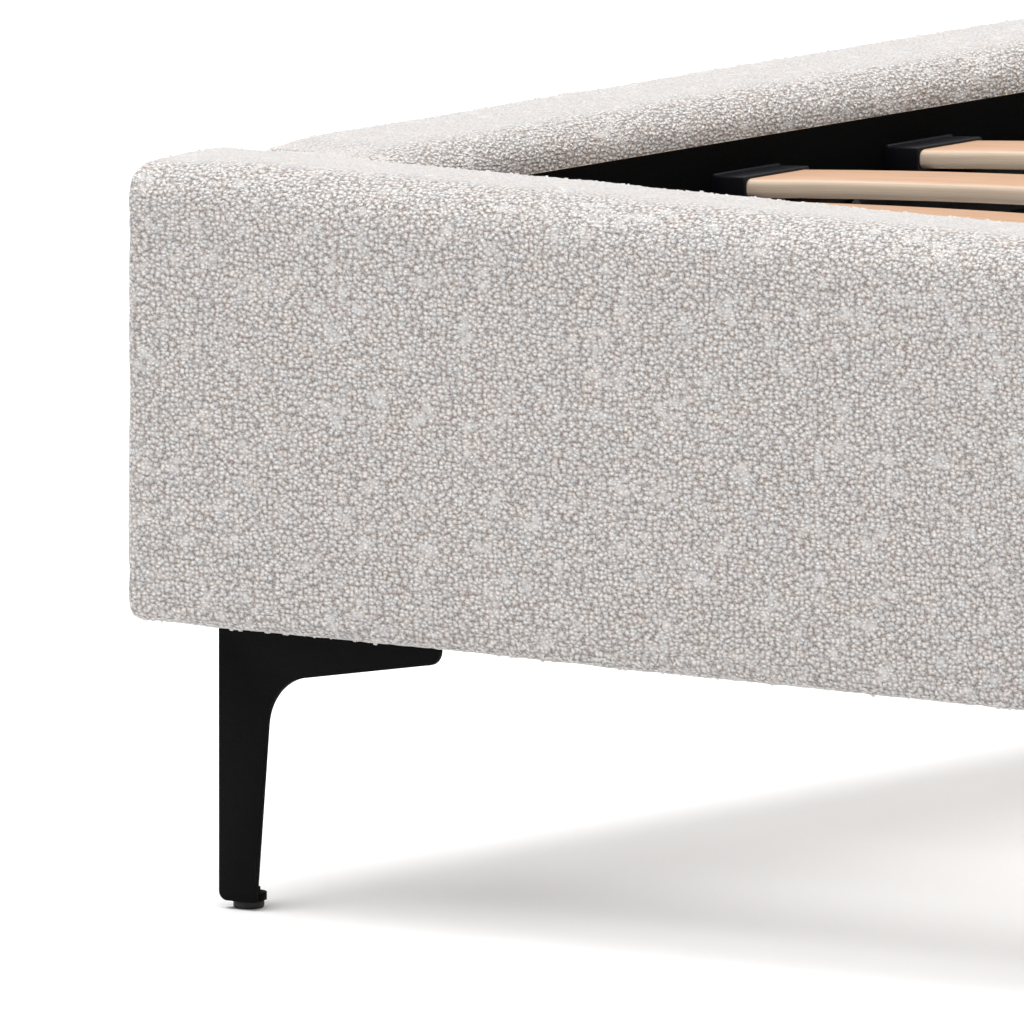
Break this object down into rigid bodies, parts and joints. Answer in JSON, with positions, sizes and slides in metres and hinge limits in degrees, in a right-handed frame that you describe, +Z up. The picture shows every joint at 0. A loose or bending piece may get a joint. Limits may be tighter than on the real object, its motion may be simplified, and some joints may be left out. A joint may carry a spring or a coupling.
{
  "type": "upholstered bed",
  "caption": "Bed frame with a padded headboard and padded rails in pale boucle fabric, sprung wooden slats on a centre beam, and folded black steel legs with levelling glides.",
  "frame": {"origin": "on the floor at the middle of the bed's outer box", "axes": "+Y from the foot rail to the headboard, +X to the right as seen from the foot, +Z up"},
  "size_m": [1.74, 2.24, 1.12],
  "materials": {
    "boucle": "looped boucle upholstery fabric",
    "foam": "upholstery foam",
    "timber": "sawn pine and plywood",
    "liner": "black non-woven lining cloth",
    "slat_beech": "laminated beech, clear lacquer",
    "cap_plastic": "moulded black plastic",
    "black_steel": "fine-textured black powder coat",
    "zinc_steel": "zinc-plated steel",
    "glide_plastic": "black nylon"
  },
  "bodies": {
    "bed": {"foot_rail_core": "timber", "foot_rail_foam": "foam", "foot_rail_cover": "boucle", "foot_rail_liner": "liner", "left_rail_core": "timber", "left_rail_foam": "foam", "left_rail_cover": "boucle", "left_rail_liner": "liner", "right_rail_core": "timber", "right_rail_foam": "foam", "right_rail_cover": "boucle", "right_rail_liner": "liner", "headboard_stile_left": "timber", "headboard_stile_right": "timber", "headboard_top_rail": "timber", "headboard_mid_rail": "timber", "headboard_bottom_rail": "timber", "headboard_panel": "timber", "headboard_foam": "foam", "headboard_cover": "boucle", "headboard_back_panel": "boucle", "slat_ledge_left": "black_steel", "slat_ledge_right": "black_steel", "centre_beam": "black_steel", "beam_hangers": "black_steel", "centre_leg_foot": "black_steel", "centre_leg_head": "black_steel", "corner_brackets": "black_steel", "leg_foot_left": "black_steel", "leg_foot_right": "black_steel", "leg_head_left": "black_steel", "leg_head_right": "black_steel", "frame_bolts": "zinc_steel", "leg_screws": "zinc_steel", "ledge_screws": "zinc_steel", "slat_caps_left": "cap_plastic", "slat_caps_right": "cap_plastic", "slat_caps_centre": "cap_plastic", "slat_01": "slat_beech", "slat_02": "slat_beech", "slat_03": "slat_beech", "slat_04": "slat_beech", "slat_05": "slat_beech", "slat_06": "slat_beech", "slat_07": "slat_beech", "slat_08": "slat_beech", "slat_09": "slat_beech", "slat_10": "slat_beech", "slat_11": "slat_beech", "slat_12": "slat_beech", "slat_13": "slat_beech"},
    "glide_foot_left": {"glide_foot_left": "glide_plastic"},
    "glide_foot_right": {"glide_foot_right": "glide_plastic"},
    "glide_head_left": {"glide_head_left": "glide_plastic"},
    "glide_head_right": {"glide_head_right": "glide_plastic"},
    "glide_centre_foot": {"glide_centre_foot": "glide_plastic"},
    "glide_centre_head": {"glide_centre_head": "glide_plastic"}
  },
  "joints": [
    {"name": "glide_foot_left_screw", "type": "slide", "parent": "bed", "child": "glide_foot_left", "axis": [0, 0, -1], "range_m": [0, 0.008]},
    {"name": "glide_foot_right_screw", "type": "slide", "parent": "bed", "child": "glide_foot_right", "axis": [0, 0, -1], "range_m": [0, 0.008]},
    {"name": "glide_head_left_screw", "type": "slide", "parent": "bed", "child": "glide_head_left", "axis": [0, 0, -1], "range_m": [0, 0.008]},
    {"name": "glide_head_right_screw", "type": "slide", "parent": "bed", "child": "glide_head_right", "axis": [0, 0, -1], "range_m": [0, 0.008]},
    {"name": "glide_centre_foot_screw", "type": "slide", "parent": "bed", "child": "glide_centre_foot", "axis": [0, 0, -1], "range_m": [0, 0.008]},
    {"name": "glide_centre_head_screw", "type": "slide", "parent": "bed", "child": "glide_centre_head", "axis": [0, 0, -1], "range_m": [0, 0.008]}
  ]
}
